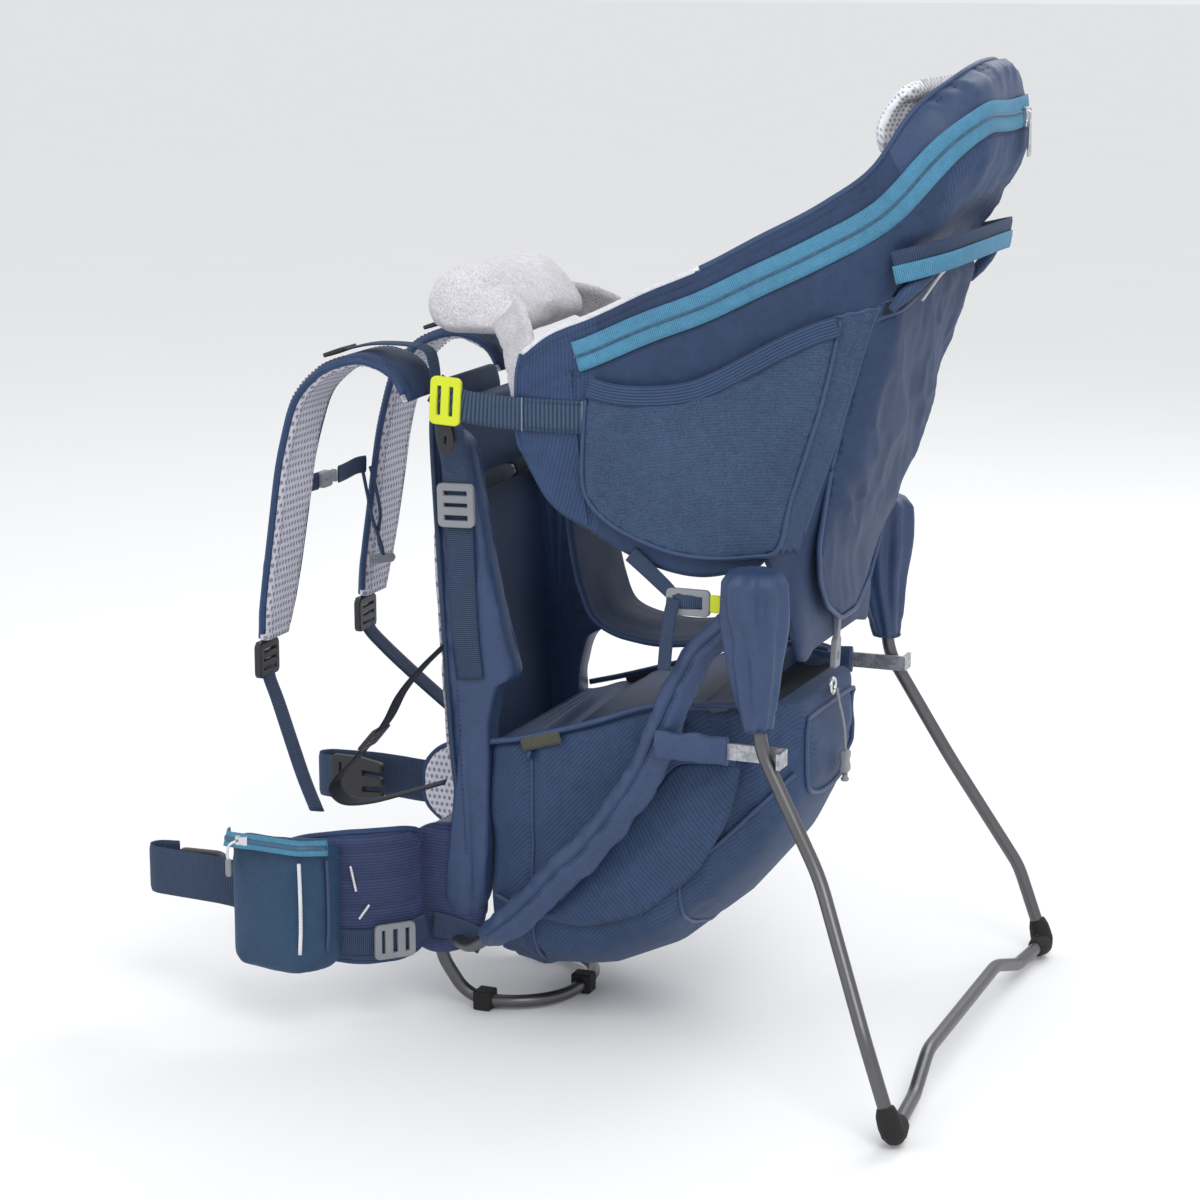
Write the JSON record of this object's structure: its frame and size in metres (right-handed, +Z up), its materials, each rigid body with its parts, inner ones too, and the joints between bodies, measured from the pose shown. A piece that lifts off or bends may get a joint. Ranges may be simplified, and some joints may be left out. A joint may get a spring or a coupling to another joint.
{
  "type": "child carrier backpack",
  "caption": "Framed child carrier backpack standing on a floor loop and a folding kickstand, with cockpit, seat, sliding shoulder harness, padded hip belt and open lower bag.",
  "frame": {"origin": "on the floor, below the middle of the overall box", "axes": "+Z up; +X towards the rear, where the kickstand stands; the wearer faces -X and the wearer's left is -Y"},
  "size_m": [0.6965, 0.5, 0.801],
  "materials": {
    "tube": "satin gunmetal",
    "fitting": "satin grey",
    "bright": "polished",
    "rubber": "matte",
    "navy": "ripstop weave with a soft sheen",
    "stretch": "heathered stretch knit",
    "spacer_mesh": "open spacer mesh",
    "fleece": "soft brushed pile",
    "webbing": "ribbed webbing",
    "grey_plastic": "moulded grey",
    "black_plastic": "moulded black",
    "green_plastic": "moulded yellow-green",
    "cord": "braided"
  },
  "bodies": {
    "pack": {"back_cushions": "spacer_mesh", "back_panel": "navy", "bag_eyelet": "bright", "bag_pocket_left": "navy", "bag_pocket_right": "navy", "chin_pad": "fleece", "cord_lock": "grey_plastic", "drawcord": "cord", "foot_pads": "rubber", "foot_stirrup_left": "webbing", "foot_stirrup_right": "webbing", "frame_crossbar": "tube", "frame_tube": "tube", "grab_handle": "webbing", "headrest": "navy", "headrest_pad": "spacer_mesh", "hinge_bracket_left": "fitting", "hinge_bracket_right": "fitting", "hinge_pins": "bright", "lower_bag": "navy", "lumbar_pad": "spacer_mesh", "rear_pocket": "navy", "rear_shell": "navy", "rim_hook": "grey_plastic", "side_buckles": "grey_plastic", "side_panel_left": "navy", "side_panel_right": "navy", "side_strut_left": "tube", "side_strut_right": "tube", "stop_bars": "fitting", "stretch_pocket_left": "stretch", "stretch_pocket_right": "stretch", "strut_sleeve_left": "navy", "strut_sleeve_right": "navy", "wing_buckles": "green_plastic", "wing_straps": "webbing"},
    "kickstand": {"kickstand_tube": "tube", "kickstand_eyes": "fitting", "kickstand_feet": "rubber", "leg_sleeves": "navy"},
    "harness": {"harness_yoke": "spacer_mesh", "shoulder_strap_left": "spacer_mesh", "shoulder_strap_right": "spacer_mesh", "load_lifters": "webbing", "strap_ladder_locks": "black_plastic", "sternum_strap": "webbing", "sternum_buckle": "grey_plastic", "lower_strap_webbing": "webbing"},
    "hip_left": {"hip_fin_left": "navy", "hip_webbing_left": "webbing", "hip_pouch": "navy", "hip_buckle_socket": "black_plastic"},
    "hip_right": {"hip_fin_right": "navy", "hip_webbing_right": "webbing", "hip_buckle_prong": "black_plastic"},
    "seat": {"seat": "navy"},
    "rim_zip": {"rim_zip_slider": "bright"},
    "rim_pull": {"rim_zip_pull": "bright"},
    "pouch_zip": {"pouch_zip_slider": "bright"},
    "lock_button": {"cord_lock_button": "grey_plastic"}
  },
  "joints": [
    {"name": "kickstand_fold", "type": "hinge", "parent": "pack", "child": "kickstand", "pos_m": [0.2027, 0, 0.4], "axis": [0, 1, 0], "range_deg": [0, 38]},
    {"name": "harness_slide", "type": "slide", "parent": "pack", "child": "harness", "axis": [-0.0592, 0, 0.9982], "range_m": [-0.07, 0], "deforming": ["lower_strap_webbing"]},
    {"name": "hip_left_swing", "type": "hinge", "parent": "pack", "child": "hip_left", "pos_m": [-0.1143, -0.112, 0.116], "axis": [0, 0, 1], "range_deg": [-20, 30]},
    {"name": "hip_right_swing", "type": "hinge", "parent": "pack", "child": "hip_right", "pos_m": [-0.1143, 0.112, 0.116], "axis": [0, 0, 1], "range_deg": [-30, 20]},
    {"name": "seat_height", "type": "slide", "parent": "pack", "child": "seat", "axis": [0, 0, 1], "range_m": [-0.018, 0.04]},
    {"name": "rim_zip_travel", "type": "slide", "parent": "pack", "child": "rim_zip", "axis": [0, 1, 0], "range_m": [-0.07, 0.03]},
    {"name": "rim_pull_swing", "type": "hinge", "parent": "rim_zip", "child": "rim_pull", "pos_m": [0.3475, 0.035, 0.756], "axis": [0, 1, 0], "range_deg": [-90, 0]},
    {"name": "pouch_zip_travel", "type": "slide", "parent": "hip_left", "child": "pouch_zip", "axis": [0.9983, -0.0582, 0], "range_m": [0, 0.05]},
    {"name": "cord_lock_press", "type": "slide", "parent": "pack", "child": "lock_button", "axis": [0, 0, 1], "range_m": [0, 0.003], "stiffness_N_per_m": 300, "springref_m": -0.003}
  ]
}
